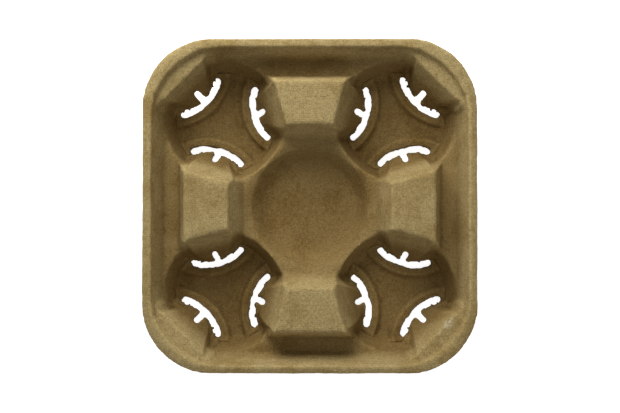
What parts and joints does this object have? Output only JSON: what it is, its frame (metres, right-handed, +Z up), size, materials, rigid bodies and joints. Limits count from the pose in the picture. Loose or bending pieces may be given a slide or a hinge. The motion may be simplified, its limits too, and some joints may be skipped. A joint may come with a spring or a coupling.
{
  "type": "cup carrier tray",
  "caption": "Square moulded-pulp carrier tray with round pockets for cups, slotted flaps, and a bowl in the middle.",
  "frame": {"origin": "middle of the tray, on the surface that it stands on", "axes": "+Z up; +X and +Y along the tray's sides, with +Y at the top of the picture"},
  "size_m": [0.215, 0.215, 0.045],
  "materials": {
    "pulp": "matt"
  },
  "bodies": {
    "root": {"carrier_tray": "pulp"}
  },
  "joints": []
}
